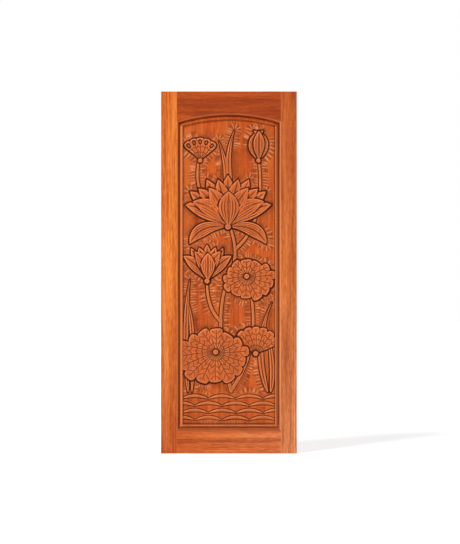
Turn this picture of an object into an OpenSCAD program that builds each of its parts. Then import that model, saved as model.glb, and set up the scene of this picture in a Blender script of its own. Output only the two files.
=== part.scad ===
// Exterior door leaf: a stile-and-rail frame with an arched head and a carved floating panel.
// Millimetres. Front face towards -Y, +Z up, origin at the middle of the bottom edge.

/* [Door leaf] */
// Overall width of the leaf
door_w = 762; // [720:1:920]
// Overall height of the leaf
door_h = 2032; // [1980:1:2140]
// Thickness of the stiles and rails
door_t = 44.5; // [43:0.5:57]
// Chamfer on the outer arrises of the leaf
arris = 1.5; // [0.5:0.1:3]

/* [Stiles and rails] */
// Width of each stile up to its sight line
stile_w = 102; // [94:1:125]
// Height of the bottom rail up to its sight line
bottom_rail_h = 143; // [125:1:200]
// Height of the top rail at the crown of the arch
top_rail_h = 137; // [120:1:170]
// Rise of the arch from its springing to its crown
arch_rise = 42; // [25:1:70]

/* [Moulding and groove] */
// Radius of the ovolo on the inner edges
ovolo_r = 10; // [7:0.5:11]
// Width of the flat quirk beside the ovolo
quirk_w = 3; // [1:0.5:4]
// Depth of the quirk below the face
quirk_d = 2; // [1:0.5:2.5]
// Depth of the panel groove behind the sight line
groove_d = 12; // [10:0.5:14]

/* [Panel] */
// Thickness of the tongue that sits in the groove
tongue_t = 14; // [10:0.5:14.5]
// Play between the tongue and each wall of the groove
tongue_play = 0.25; // [0.15:0.05:0.4]
// Room for the panel to swell, at the sides and the head of the groove
swell_gap = 3; // [2:0.5:5]
// Width of the bevel around the panel
bevel_w = 13; // [8:0.5:20]
// Upright step between the bevel and the rim
bevel_step = 1.5; // [0.5:0.5:3]
// Width of the plain rim around the carved field
rim_w = 6; // [4:0.5:12]
// Distance of the rim behind the face of the stiles
rim_drop = 4; // [2:0.5:7]
// Depth of the carved ground below the rim
relief_d = 9; // [6:0.5:11]

/* [Carving] */
// Width of the field that the carving is drawn for; it is stretched to the panel's own field
pattern_w = 520; // [440:1:680]
// Height of the field that the carving is drawn for
pattern_h = 1714; // [1600:1:1860]
// Length of the petals of the open bloom
bloom_l = 290; // [240:5:300]
// Length of the petals of the cupped bloom
cup_l = 205; // [160:5:215]
// Length of the closed bud
bud_l = 170; // [130:5:185]
// Length of the seed head
pod_l = 128; // [100:2:140]
// Half width of the lower round leaf
low_leaf_r = 200; // [160:5:210]
// Half width of the upper round leaf
high_leaf_r = 145; // [110:5:150]
// Half width of the side leaf
side_leaf_r = 128; // [100:4:140]
// Half width of the main stem
stem_r = 10.5; // [7:0.5:13]
// Half width of the reeds
reed_r = 16; // [10:1:20]
// Rows of ripples at the foot
ripple_rows = 4; // [2:1:4]
// Height from one row of ripples to the next
ripple_pitch = 40; // [34:1:42]

/* [Dowels] */
// Diameter of each dowel
dowel_d = 12; // [8:0.5:14]
// Length of each dowel
dowel_l = 120; // [80:5:140]
// Dowels in each corner joint
dowel_n = 3; // [2:1:3]
// Distance of the outer dowels from the edges of a rail
dowel_margin = 28; // [22:1:32]
// Chamfer on the ends of a dowel
dowel_chamfer = 1.5; // [0.5:0.5:3]
// Clearance around a dowel
dowel_fit = 0.1; // [0.05:0.05:0.3]
// Glue room past each end of a dowel
dowel_end_gap = 1; // [0.5:0.5:3]

/* [Hidden] */
$fn = 240;
// Overrun of a cut past the face it opens
cut = 1;
sticking_w = ovolo_r + quirk_w;
sticking_d = ovolo_r + quirk_d;
groove_t = tongue_t + 2 * tongue_play;
sight_w = door_w - 2 * stile_w;
sight_bottom = bottom_rail_h;
sight_top = door_h - top_rail_h;
arch_r = (pow(sight_w / 2, 2) + pow(arch_rise, 2)) / (2 * arch_rise);
arch_z = sight_top - arch_r;
rim_level = door_t / 2 - rim_drop;
ground_level = rim_level - relief_d;
field_inset = bevel_w + rim_w;
field_w = sight_w - 2 * field_inset;
field_h = sight_top - sight_bottom - 2 * field_inset;
joint_x = sight_w / 2 + groove_d;
// Blades are carved this far into the ground so that they root in it
root = 1.5;
// Half width that a blade keeps at its tips
tip_w = 1.4;
// Forms of the blades: where along its length each is widest, how blunt its ends are (less is
// blunter), and the share of its width that it loses on the way
petal_form = [0.56, 0.82, 0];
reed_form = [0.35, 0.8, 0];
gore_form = [0.86, 0.25, 0];
ripple_form = [0.5, 0.7, 0];
stem_form = [0.5, 0, 0.3];
// Places across a blade, from one edge to the other, where its section bends
across = [-1, -0.55, 0, 0.55, 1];
// Edge height of each layer of petals, from the back one to the front one, as a share of the relief
layers = [0.34, 0.49, 0.63, 0.78];
// Step from the foot of one layer of petals to the next
layer_shift = [1.5, 0.5];
// Crown of a petal over its edge, and depth of its vein, as shares of the relief
petal_crown = 0.15;
vein_d = 0.11;

// Stands a drawing up: its x is the leaf's X, its y is Z, and its height comes towards the viewer.
module upright() {
  rotate([90, 0, 0]) children();
}

// Waste cut from one moulded edge: x runs from the sight line into the wood, y from the face down.
module sticking_waste() {
  difference() {
    translate([-cut, -cut]) square([sticking_w + cut, sticking_d + cut]);
    translate([ovolo_r, sticking_d]) circle(r = ovolo_r);
    translate([ovolo_r, quirk_d]) square([sticking_w, sticking_d]);
  }
}

// Waste of both mouldings and the groove, centred on the thickness of the leaf.
module edge_waste() {
  translate([0, -door_t / 2]) sticking_waste();
  translate([0, door_t / 2]) mirror([0, 1]) sticking_waste();
  translate([-cut, -groove_t / 2]) square([groove_d + cut, groove_t]);
}

// Rectangle from the origin up, centred across, with the arrises of the leaf taken off its corners.
module eased(w, h) {
  x = w / 2;
  a = arris;
  polygon([[a - x, 0], [x - a, 0], [x, a], [x, h - a], [x - a, h], [a - x, h], [-x, h - a], [-x, a]]);
}

// The whole leaf as a bar with eased top and bottom edges, cut to a stretch of its width.
module leaf_bar(from, to) {
  translate([from, 0, 0]) rotate([90, 0, 90]) linear_extrude(height = to - from) eased(door_t, door_h);
}

module stile_section() {
  difference() {
    translate([-door_w / 2, 0]) rotate(-90) eased(door_t, door_w);
    translate([-sight_w / 2, -door_t]) square([door_w, 2 * door_t]);
    translate([-sight_w / 2, 0]) mirror([1, 0]) edge_waste();
  }
}

module stile_bar() {
  intersection() {
    linear_extrude(height = door_h) stile_section();
    leaf_bar(-door_w / 2, 0);
  }
}

// Lays its child across the joint at each dowel of a left corner.
module at_dowels(rail_h, top) {
  step = (rail_h - groove_d - 2 * dowel_margin) / (dowel_n - 1);
  for (i = [0 : dowel_n - 1]) {
    up = dowel_margin + i * step;
    translate([-joint_x, 0, top ? door_h - up : up]) rotate([0, 90, 0]) children();
  }
}

module dowel_hole() {
  cylinder(h = dowel_l + 2 * dowel_end_gap, d = dowel_d + 2 * dowel_fit, center = true);
}

module dowel() {
  r = dowel_d / 2;
  e = dowel_l / 2;
  c = dowel_chamfer;
  rotate_extrude() polygon([[0, -e], [r - c, -e], [r, c - e], [r, e - c], [r - c, e], [0, e]]);
}

module left_dowel_holes() {
  at_dowels(top_rail_h, true) dowel_hole();
  at_dowels(bottom_rail_h, false) dowel_hole();
}

module both_sides() {
  children();
  mirror([1, 0, 0]) children();
}

module left_stile() {
  color("#d0743a") difference() {
    stile_bar();
    left_dowel_holes();
  }
}

module right_stile() {
  color("#c86a37") mirror([1, 0, 0]) difference() {
    stile_bar();
    left_dowel_holes();
  }
}

// What a rail loses at its two ends: the stiles it is coped over, and the dowel holes.
module rail_ends() {
  both_sides() {
    stile_bar();
    left_dowel_holes();
  }
}

// Board between two heights, long enough to lap over the moulding and into the groove of each stile.
module rail_blank(from, to) {
  reach = sight_w / 2 + max(sticking_w, groove_d);
  intersection() {
    leaf_bar(-reach, reach);
    translate([-door_w / 2, -door_t, from]) cube([door_w, 2 * door_t, to - from]);
  }
}

module bottom_rail() {
  color("#c66a3a") difference() {
    rail_blank(0, sight_bottom);
    translate([-door_w / 2, 0, sight_bottom]) rotate([90, 0, 90]) linear_extrude(height = door_w)
      rotate(-90) edge_waste();
    rail_ends();
  }
}

module top_rail() {
  color("#b85a2a") difference() {
    rail_blank(sight_top - 2 * arch_rise, door_h);
    upright() translate([0, arch_z, 0]) {
      cylinder(h = 2 * door_t, r = arch_r, center = true);
      rotate_extrude() translate([arch_r, 0]) edge_waste();
    }
    rail_ends();
  }
}

// Outline of the sight opening drawn in by a distance; a negative one draws it out.
// The circle of the arch shapes its head only, so the part below the circle's middle is square.
module opening(inset) {
  half = sight_w / 2 - inset;
  foot = sight_bottom + inset;
  intersection() {
    translate([-half, foot]) square([2 * half, sight_top - inset - foot]);
    union() {
      translate([0, arch_z]) circle(r = arch_r - inset);
      translate([-half, foot]) square([2 * half, max(cut, arch_z - foot)]);
    }
  }
}

module tongue() {
  reach = groove_d - swell_gap;
  linear_extrude(height = tongue_t, center = true) union() {
    opening(-reach);
    translate([-sight_w / 2 - reach, sight_bottom - groove_d])
      square([sight_w + 2 * reach, 2 * groove_d]);
  }
}

// One raised face of the panel, from the middle of the tongue up to the rim.
module raised_face() {
  hull() {
    linear_extrude(height = tongue_t / 2) opening(0);
    linear_extrude(height = rim_level - bevel_step) opening(bevel_w);
  }
  linear_extrude(height = rim_level) opening(bevel_w);
}

// A place in the drawing of the carving: across from -1 to 1, up from 0 to 1.
function at(across, up) = [across * pattern_w / 2, up * pattern_h];
function curve_at(p, t) = pow(1 - t, 2) * p[0] + 2 * t * (1 - t) * p[1] + t * t * p[2];
function heading(p, t) =
  let (d = (1 - t) * (p[1] - p[0]) + t * (p[2] - p[1])) d / norm(d);
// Share of a blade's half width along its length.
function swell(t, form) =
  pow(max(0, sin(180 * pow(t, ln(0.5) / ln(form[0])))), form[1]) * (1 - form[2] * t);
function polar(l, a) = [l * cos(a), l * sin(a)];

// Carved blade along a curve of three points. Its edge, crown and vein are shares of the relief.
module blade(p, half, form, edge, crown, vein = 0, steps = 6) {
  m = len(across) + 2;
  rings = [for (i = [0 : steps])
    let (t = i / steps, c = curve_at(p, t), d = heading(p, t), s = [d[1], -d[0]],
      w = max(tip_w, half * swell(t, form)))
    [for (k = [0 : m - 1])
      let (v = across[min(max(k - 1, 0), m - 3)],
        h = edge + crown * sqrt(1 - v * v) - (v == 0 ? vein : 0),
        q = c + s * v * w)
      [q[0], q[1], k == 0 || k == m - 1 ? -root : h * relief_d]]];
  sides = [for (i = [0 : steps - 1], k = [0 : m - 1])
    let (a = i * m + k, b = i * m + (k + 1) % m)
    each [[a, a + m, b + m], [a, b + m, b]]];
  first = [for (k = [0 : m - 1]) k];
  last = [for (k = [m - 1 : -1 : 0]) steps * m + k];
  polyhedron(points = [for (r = rings) each r], faces = concat(sides, [first, last]));
}

// Rounded stem along a curve, its top a share of the relief above the ground.
module stem(p, r, top) {
  blade(p, r, stem_form, 0.06, top - 0.06, steps = 8);
}

// Low round button that the petals of a flower or the gores of a leaf spring from.
module button(p, r, top) {
  translate([p[0], p[1], -root]) hull() {
    cylinder(h = root + 0.85 * top * relief_d, r = r, $fn = 14);
    cylinder(h = root + top * relief_d, r = 0.65 * r, $fn = 14);
  }
}

module reed(p, half) {
  blade(p, half, reed_form, 0.08, 0.22, vein_d);
}

// Petals leaning to both sides of upright; a lean of nought gives one petal. Their bow, a share of
// their length, grows with the lean and is whole at 60 degrees. Each layer springs from beside the last.
module petals(base, l, half, leans, bow, layer, crown = petal_crown) {
  foot = base + layer * layer_shift;
  for (a = leans, s = a == 0 ? [1] : [-1, 1]) {
    tip = polar(l, 90 - s * a);
    side = polar(s * bow * l * a / 60, -s * a);
    blade([foot, foot + tip / 2 - side, foot + tip], half * l, petal_form, layers[layer], crown, vein_d);
  }
}

module bloom(base, l) {
  petals(base, l, 0.15, [0, 24, 47], 0.05, 0);
  petals(base, 0.93 * l, 0.165, [12, 38, 63], 0.16, 1);
  petals(base, 0.84 * l, 0.185, [27, 55], 0.26, 2);
  petals(base, 0.68 * l, 0.29, [0], 0, 3, 0.21);
  button(base, 1.6 * stem_r, 0.98);
}

module falling_petals(base, l) {
  for (s = [-1, 1])
    blade([base, base + [s * 0.75 * l, 0.1 * l], base + [s * l, -0.45 * l]], 0.17 * l, petal_form,
      layers[1], petal_crown, vein_d, 9);
}

module cup(base, l) {
  petals(base, l, 0.15, [0, 26], 0.05, 0);
  petals(base, 0.95 * l, 0.17, [14, 44], 0.22, 1);
  petals(base, 0.88 * l, 0.19, [24], 0.55, 2);
  petals(base, 0.76 * l, 0.25, [0], 0, 3, 0.21);
  button(base, 1.4 * stem_r, 0.98);
}

module bud(base, l) {
  petals(base, l, 0.17, [9], 3.2, 0, 0.24);
  petals(base, 0.97 * l, 0.19, [0], 0, 2, 0.24);
  button(base, 1.2 * stem_r, 0.9);
}

// Seed head: a fan of gores with a seed at the end of each.
module seed_head(foot, l) {
  n = 5;
  spread = 38;
  for (i = [0 : n - 1]) {
    a = 90 + spread * (2 * i / (n - 1) - 1);
    d = polar(1, a);
    side = 0.03 * l * [d[1], -d[0]];
    half = l * sin(spread / (n - 1));
    blade([foot, foot + d * l / 2 + side, foot + d * l], half, gore_form, 0.38, 0.2, steps = 5);
    hull() {
      for (share = [0.78, 0.86])
        translate([foot[0] + share * l * d[0], foot[1] + share * l * d[1], 0.5 * relief_d])
          sphere(r = 0.3 * relief_d, $fn = 8);
    }
  }
  button(foot, 1.2 * stem_r, 0.66);
}

// Round leaf of gores that spread from a navel to a wavy edge.
module leaf(c, size, n, span, navel, wave, waves) {
  step = (span[1] - span[0]) / n;
  function rim(a) = c + (1 + wave * sin(waves * a)) * [size[0] * cos(a), size[1] * sin(a)];
  p0 = c + navel;
  for (i = [0 : n - 1]) {
    a = span[0] + (i + 0.5) * step;
    d = rim(a) - p0;
    l = norm(d);
    half = abs(cross(rim(a - step / 2) - p0, rim(a + step / 2) - p0)) / l / 2;
    mid = p0 + d / 2 + 0.04 * [d[1], -d[0]];
    blade([p0, mid, p0 + d], 0.93 * half, gore_form, 0.38, 0.17, steps = 5);
  }
  button(p0, 1.4 * stem_r, 0.68);
}

// Rows of ripples across the foot of the field, every other row shifted by half a ripple.
module ripples() {
  n = 4;
  span = pattern_w / (n - 0.6);
  for (r = [0 : ripple_rows - 1], i = [0 : n - 1]) {
    x = (i - (n - 1) / 2 + (r % 2 == 0 ? -0.25 : 0.25)) * span;
    y = (0.6 + r) * ripple_pitch;
    rise = 0.85 * ripple_pitch;
    blade([[x - span / 2, y], [x, y + rise], [x + span / 2, y]], rise / 4, ripple_form, 0.1, 0.24,
      steps = 6);
  }
}

module stems() {
  stem([at(0.05, 0.11), at(-0.4, 0.36), at(0.05, 0.5)], stem_r, 0.33);
  stem([at(0.05, 0.5), at(0.25, 0.565), at(-0.02, 0.665)], 0.95 * stem_r, 0.31);
  stem([at(0.06, 0.114), at(0.75, 0.26), at(0.42, 0.47)], 0.95 * stem_r, 0.30);
  stem([at(-0.17, 0.338), at(-0.5, 0.38), at(-0.47, 0.485)], 0.9 * stem_r, 0.28);
  stem([at(0.14, 0.575), at(0.82, 0.66), at(0.64, 0.875)], 0.85 * stem_r, 0.27);
  stem([at(-0.1, 0.68), at(-0.86, 0.74), at(-0.62, 0.885)], 0.85 * stem_r, 0.29);
}

module reeds() {
  reed([at(0.84, 0.105), at(0.5, 0.26), at(0.93, 0.4)], reed_r);
  reed([at(0.9, 0.105), at(1.02, 0.2), at(0.76, 0.34)], 0.9 * reed_r);
  reed([at(-0.88, 0.105), at(-1, 0.34), at(-0.84, 0.475)], reed_r);
  reed([at(-0.8, 0.105), at(-0.72, 0.34), at(-0.94, 0.42)], 0.9 * reed_r);
  reed([at(0.12, 0.71), at(-0.14, 0.86), at(0.12, 0.965)], 1.1 * reed_r);
  reed([at(-0.1, 0.71), at(0.04, 0.83), at(-0.22, 0.93)], reed_r);
}

module carving() {
  heart = at(-0.02, 0.648);
  ripples();
  stems();
  reeds();
  leaf(at(-0.36, 0.222), [1, 0.76] * low_leaf_r, 15, [0, 360], [20, 26], 0.06, 5);
  leaf(at(0.44, 0.475), [1, 0.76] * high_leaf_r, 13, [0, 360], [-14, 18], 0.06, 4);
  leaf(at(0.58, 0.25), [1, 0.97] * side_leaf_r, 7, [12, 168], [0, -30], 0.03, 3);
  seed_head(at(-0.62, 0.865), pod_l);
  cup(at(-0.47, 0.47), cup_l);
  bud(at(0.64, 0.865), bud_l);
  falling_petals(heart, 0.74 * bloom_l);
  bloom(heart, bloom_l);
}

// The carving stretched from its drawing to the field of the panel, standing on the ground.
module fitted_carving() {
  translate([0, sight_bottom + field_inset, ground_level])
    scale([field_w / pattern_w, field_h / pattern_h, 1]) carving();
}

module carved_panel() {
  color("#bb5e30") upright() union() {
    tongue();
    mirror([0, 0, 1]) raised_face();
    difference() {
      raised_face();
      translate([0, 0, ground_level]) linear_extrude(height = door_t) opening(field_inset);
    }
    intersection() {
      translate([0, 0, ground_level - root]) linear_extrude(height = root + relief_d) opening(field_inset);
      fitted_carving();
    }
  }
}

module top_left_dowels() {
  color("#c9a26a") at_dowels(top_rail_h, true) dowel();
}

module top_right_dowels() {
  color("#c9a26a") mirror([1, 0, 0]) at_dowels(top_rail_h, true) dowel();
}

module bottom_left_dowels() {
  color("#c9a26a") at_dowels(bottom_rail_h, false) dowel();
}

module bottom_right_dowels() {
  color("#c9a26a") mirror([1, 0, 0]) at_dowels(bottom_rail_h, false) dowel();
}

left_stile();
right_stile();
top_rail();
bottom_rail();
carved_panel();
top_left_dowels();
top_right_dowels();
bottom_left_dowels();
bottom_right_dowels();
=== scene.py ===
"""Looks of a carved exterior door leaf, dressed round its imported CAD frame.

The stiles, rails and dowels keep their CAD solids and get timber finishes. The carved panel is replaced
by five glued boards whose faces are one height field, cut with the same drawing as the CAD panel, so
that the undercut lines, gouge strokes and tooled ground are real geometry. Lengths are in millimetres
until a mesh is made, and the front faces -Y.
"""

import logging
import math
from dataclasses import dataclass, field, fields
from enum import Enum

import bpy
import numpy as np
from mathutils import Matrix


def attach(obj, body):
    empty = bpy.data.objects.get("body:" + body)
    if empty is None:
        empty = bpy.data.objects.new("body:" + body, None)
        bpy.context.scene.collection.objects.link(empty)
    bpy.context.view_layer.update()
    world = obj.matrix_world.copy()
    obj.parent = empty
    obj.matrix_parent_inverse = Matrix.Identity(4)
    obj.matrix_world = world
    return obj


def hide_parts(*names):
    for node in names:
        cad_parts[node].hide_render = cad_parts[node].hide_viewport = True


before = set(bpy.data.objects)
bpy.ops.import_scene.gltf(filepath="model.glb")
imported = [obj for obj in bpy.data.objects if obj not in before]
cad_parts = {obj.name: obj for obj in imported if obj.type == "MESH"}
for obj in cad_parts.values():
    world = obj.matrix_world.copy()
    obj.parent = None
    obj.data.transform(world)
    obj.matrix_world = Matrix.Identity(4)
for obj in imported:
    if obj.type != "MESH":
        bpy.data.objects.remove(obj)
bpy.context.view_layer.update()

LOG = logging.getLogger("door_leaf")
MM = 0.001
TURN = 2 * math.pi
WHITE = (1.0, 1.0, 1.0, 1.0)
Array = np.ndarray
Point = tuple[float, float]
Place = tuple[float, float, float]
Colour = tuple[int, int, int]
Stops = tuple[Point, ...]
Window = tuple[slice, slice]
Socket = bpy.types.NodeSocket


def smooth(low: float, high: float, value: Array) -> Array:
    """Ramp from 0 at low to 1 at high: 3q^2 - 2q^3 of the clipped share q."""
    q = np.clip((value - low) / (high - low), 0.0, 1.0)
    return q * q * (3.0 - 2.0 * q)


def between(value: Array, low: float, high: float, fall: float, end: float) -> Array:
    """Ramp up from low to high, times the ramp down from fall to end."""
    return smooth(low, high, value) * (1.0 - smooth(fall, end, value))


def bell(value: Array, width: float) -> Array:
    """Bell about nought: e to the minus square of the value's share of the width."""
    return np.exp(-((value / width) ** 2))


def stroke(phase: Array, half: float | Array) -> Array:
    """V cut in the middle of each whole step of phase: 1 at its middle, 0 from half a step share away."""
    return np.clip(1.0 - np.abs(phase - np.floor(phase) - 0.5) / half, 0.0, 1.0)


def gouge(phase: Array, half: float | Array) -> Array:
    """Stroke with a flat bottom: half as deep again, and cut off at 1."""
    return np.minimum(1.0, 1.5 * stroke(phase, half))


def scatter(number: Array, salt: float) -> Array:
    """Steady pseudo-random share for each whole number: the fraction of a large multiple of its sine."""
    wild = np.sin(number * 12.9898 + salt * 78.233) * 43758.5453
    return wild - np.floor(wild)


def box_blur(values: Array, reach: int) -> Array:
    """Mean over a square window of cells, from running sums along each axis.

    Args:
        values: Values of the cells.
        reach: Number of cells that the window takes in on each side.

    Returns:
        The means.
    """
    span = 2 * reach + 1
    for axis in (0, 1):
        pad = [(0, 0), (0, 0)]
        pad[axis] = (reach + 1, reach)
        total = np.cumsum(np.pad(values, pad, mode="edge"), axis=axis)
        count = np.arange(values.shape[axis])
        values = (np.take(total, count + span, axis=axis) - np.take(total, count, axis=axis)) / span
    return values


def pair(place: Array) -> Point:
    """A place as two plain numbers."""
    return float(place[0]), float(place[1])


def sheet(ids: Array) -> Array:
    """Quads between the neighbours in a grid of point numbers."""
    return np.stack([ids[:-1, :-1], ids[:-1, 1:], ids[1:, 1:], ids[1:, :-1]], -1).reshape(-1, 4)


def linear(colour: Colour) -> tuple[float, float, float, float]:
    """Scene-linear colour of an 8-bit sRGB one."""
    share = [c / 255.0 for c in colour]
    return (*(c / 12.92 if c <= 0.04045 else ((c + 0.055) / 1.055) ** 2.4 for c in share), 1.0)


def put_in_scene(name: str, data: bpy.types.ID) -> bpy.types.Object:
    """Makes an object at the origin and links it to the scene.

    Args:
        name: Name of the object.
        data: Its mesh, lamp or camera.

    Returns:
        The object.
    """
    made = bpy.data.objects.new(name, data)
    bpy.context.scene.collection.objects.link(made)
    return made


@dataclass(frozen=True)
class LeafSizes:
    """Main sizes of the leaf, the same as in the part's source."""

    width: float = 762.0
    height: float = 2032.0
    thick: float = 44.5
    stile: float = 102.0
    bottom_rail: float = 143.0
    top_rail: float = 137.0
    arch_rise: float = 42.0
    groove: float = 12.0
    tongue: float = 14.0
    swell_gap: float = 3.0
    bevel: float = 13.0
    bevel_step: float = 1.5
    rim: float = 6.0
    rim_drop: float = 4.0
    relief: float = 9.0

    @property
    def half_sight(self) -> float:
        """Half the width of the sight opening."""
        return self.width / 2 - self.stile

    @property
    def sight_top(self) -> float:
        """Height of the sight opening's crown."""
        return self.height - self.top_rail

    @property
    def arch_r(self) -> float:
        """Radius of the arched head."""
        return (self.half_sight**2 + self.arch_rise**2) / (2 * self.arch_rise)

    @property
    def arch_z(self) -> float:
        """Height of the middle of the arch."""
        return self.sight_top - self.arch_r

    @property
    def rim_level(self) -> float:
        """Distance of the rim in front of the middle plane."""
        return self.thick / 2 - self.rim_drop

    @property
    def ground_level(self) -> float:
        """Distance of the carved ground in front of the middle plane."""
        return self.rim_level - self.relief

    @property
    def inset(self) -> float:
        """Distance of the carved field inside the sight line."""
        return self.bevel + self.rim

    def head(self, x: Array, inset: float) -> Array:
        """Height of the arched head at x, drawn in: the circle about the middle of the arch."""
        return self.arch_z + np.sqrt((self.arch_r - inset) ** 2 - x * x)


SIZES = LeafSizes()


@dataclass(frozen=True)
class BladeForm:
    """Outline of a blade, the darkness of its dark line of staining and painted shade, and its fine cuts.

    Depths in mm, and the staining with painted shade in the cuts, are given for the fine strokes first and
    for the rib or the rings next. The rib starts and runs out at shares of the blade's length.
    """

    peak: float
    blunt: float
    taper: float = 0.0
    ink: float = 1.0
    depth: Point = (0.5, 0.0)
    stain: Point = (0.5, 0.0)
    rib_w: float = 2.5
    rib_run: tuple[float, float, float, float] = (0.04, 0.12, 0.88, 0.96)

    def swell(self, t: Array) -> Array:
        """Share of the half width at t: sin(pi t^a)^blunt (1 - taper t), widest at the peak."""
        bent = np.clip(t, 0.0, 1.0) ** (math.log(0.5) / math.log(self.peak))
        return np.maximum(np.sin(np.pi * bent), 0.0) ** self.blunt * (1.0 - self.taper * t)


class Motif(Enum):
    """Kinds of carved blade, each with its form."""

    PETAL = BladeForm(0.56, 0.82, depth=(0.9, 0.8), stain=(0.8, 0.95), rib_w=2.6,
                      rib_run=(-1.0, 0.0, 0.86, 0.97))
    REED = BladeForm(0.35, 0.8, depth=(0.5, 0.7), stain=(0.6, 0.92), rib_w=2.4,
                     rib_run=(0.02, 0.1, 0.88, 0.98))
    GORE = BladeForm(0.86, 0.25, depth=(0.7, 0.8), stain=(0.85, 0.92))
    RIPPLE = BladeForm(0.5, 0.7, ink=0.7)
    STEM = BladeForm(0.5, 0.0, taper=0.3, depth=(0.3, 0.5), stain=(0.5, 0.7))


@dataclass
class Cut:
    """What one carved form gives at each cell: its height over the ground in mm, and how it is finished."""

    height: Array
    outside: Array
    edge: float
    stain: Array
    run: Array
    ink: float = 1.0


@dataclass(frozen=True)
class Blade:
    """Carved blade along a curve of three points; edge, crown and vein are shares of the relief."""

    motif: Motif
    points: tuple[Point, Point, Point]
    half: float
    edge: float
    crown: float
    vein: float = 0.0
    rank: int = 0

    TIP = 1.4
    RAMP = 1.5
    STEPS = 44
    VALLEY_W = 0.55
    VALLEY_BEND = 1.3
    VEIN_PITCH = 29.0
    VEIN_SLANT = 0.8
    RING_PITCH = 46.0

    def spine(self) -> Array:
        """Points along the quadratic curve."""
        t = np.linspace(0.0, 1.0, self.STEPS + 1)[:, None]
        p0, p1, p2 = (np.asarray(p, float) for p in self.points)
        return (1 - t) ** 2 * p0 + 2 * t * (1 - t) * p1 + t * t * p2

    def reach(self, margin: float) -> tuple[Array, Array]:
        """Lowest and highest corner of the blade with a margin."""
        line = self.spine()
        return line.min(0) - self.half - margin, line.max(0) + self.half + margin

    def trace(self, x: Array, z: Array) -> tuple[Array, ...]:
        """Foot of each cell on the spine.

        The nearest of the spine's points is found first, then the cell is dropped square on to the two
        pieces of line that meet there, and the nearer foot is kept.

        Args:
            x: Places across.
            z: Places up.

        Returns:
            Distance to the spine, offset to its side, share along the curve, and length along it.
        """
        line = self.spine()
        far = (x[..., None] - line[:, 0]) ** 2 + (z[..., None] - line[:, 1]) ** 2
        near = far.argmin(-1)
        step = np.diff(line, axis=0)
        length = np.hypot(step[:, 0], step[:, 1])
        start = np.concatenate([[0.0], np.cumsum(length)])
        best: tuple[Array, ...] = ()
        for shift in (-1, 0):
            k = np.clip(near + shift, 0, self.STEPS - 1)
            ux, uz = step[k, 0] / length[k], step[k, 1] / length[k]
            dx, dz = x - line[k, 0], z - line[k, 1]
            along = np.clip(dx * ux + dz * uz, 0.0, length[k])
            dist = np.hypot(dx - along * ux, dz - along * uz)
            here = (dist, dx * uz - dz * ux, (k + along / length[k]) / self.STEPS, start[k] + along)
            if best:
                here = tuple(np.where(dist < best[0], new, old) for new, old in zip(here, best))
            best = here
        return best

    def lines(self, v: Array, t: Array, dist: Array, run: Array) -> tuple[Array, Array]:
        """Fine cuts of the gouge on the blade's face, by its kind.

        Petals and reeds have flutes that keep their share of the width and run out towards the tip,
        gores have slanting side veins at an even pitch, and all three have an incised rib. Stems have
        two fibres and rings, and a ripple has one line under its crest.

        Args:
            v: Share of the half width from the spine.
            t: Share along the spine.
            dist: Distance from the spine.
            run: Length along the spine.

        Returns:
            Depth of the cuts in mm, and their stain.
        """
        form = self.motif.value
        rib = bell(dist, form.rib_w) * between(t, *form.rib_run)
        ends = smooth(0.05, 0.2, t) * (1.0 - smooth(0.74, 0.96, t + 0.2 * v))
        if self.motif is Motif.PETAL:
            fine = gouge(v * 3.4 + 0.12, 0.27) * ends * (v < 0.93) * (v > 0.1)
        elif self.motif is Motif.REED:
            fine = stroke(v * 2.0, 0.16) * ends
        elif self.motif is Motif.GORE:
            fine = gouge((run - self.VEIN_SLANT * dist) / self.VEIN_PITCH, 0.13)
            fine = fine * between(v, 0.1, 0.22, 0.82, 0.95) * between(t, 0.12, 0.3, 0.86, 0.95)
        elif self.motif is Motif.STEM:
            fine = stroke(v * 2.2 + 0.45, 0.2) * (v < 0.85)
            rib = stroke(run / self.RING_PITCH, 0.03) * (1.0 - v)
        else:
            fine = bell(v - 0.45, 0.14) * between(t, 0.05, 0.3, 0.7, 0.95)
        depth = form.depth[0] * fine + form.depth[1] * rib
        return depth, np.maximum(form.stain[0] * fine, form.stain[1] * rib)

    def cut(self, x: Array, z: Array, relief: float) -> Cut:
        """The blade at each cell.

        Its section is edge + crown sqrt(1 - v^2), less a valley along the spine, and it falls to the
        ground over a narrow ramp at its outline.

        Args:
            x: Places across.
            z: Places up.
            relief: Depth of the relief.

        Returns:
            Heights, distance outside the outline, edge height, stain and place along the outline.
        """
        dist, side, t, run = self.trace(x, z)
        form = self.motif.value
        width = np.maximum(self.TIP, self.half * form.swell(t))
        v = np.clip(dist / width, 0.0, 1.0)
        valley = self.vein * np.clip(1.0 - v / self.VALLEY_W, 0.0, 1.0) ** self.VALLEY_BEND
        top = (self.edge + self.crown * np.sqrt(1.0 - v * v) - valley) * relief
        depth, stain = self.lines(v, t, dist, run)
        outside = dist - width
        rise = smooth(-self.RAMP, self.RAMP, -outside)
        place = run + (self.half - np.abs(side))
        return Cut((top - depth) * rise, outside, self.edge * relief, stain * rise, place, form.ink)


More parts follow.
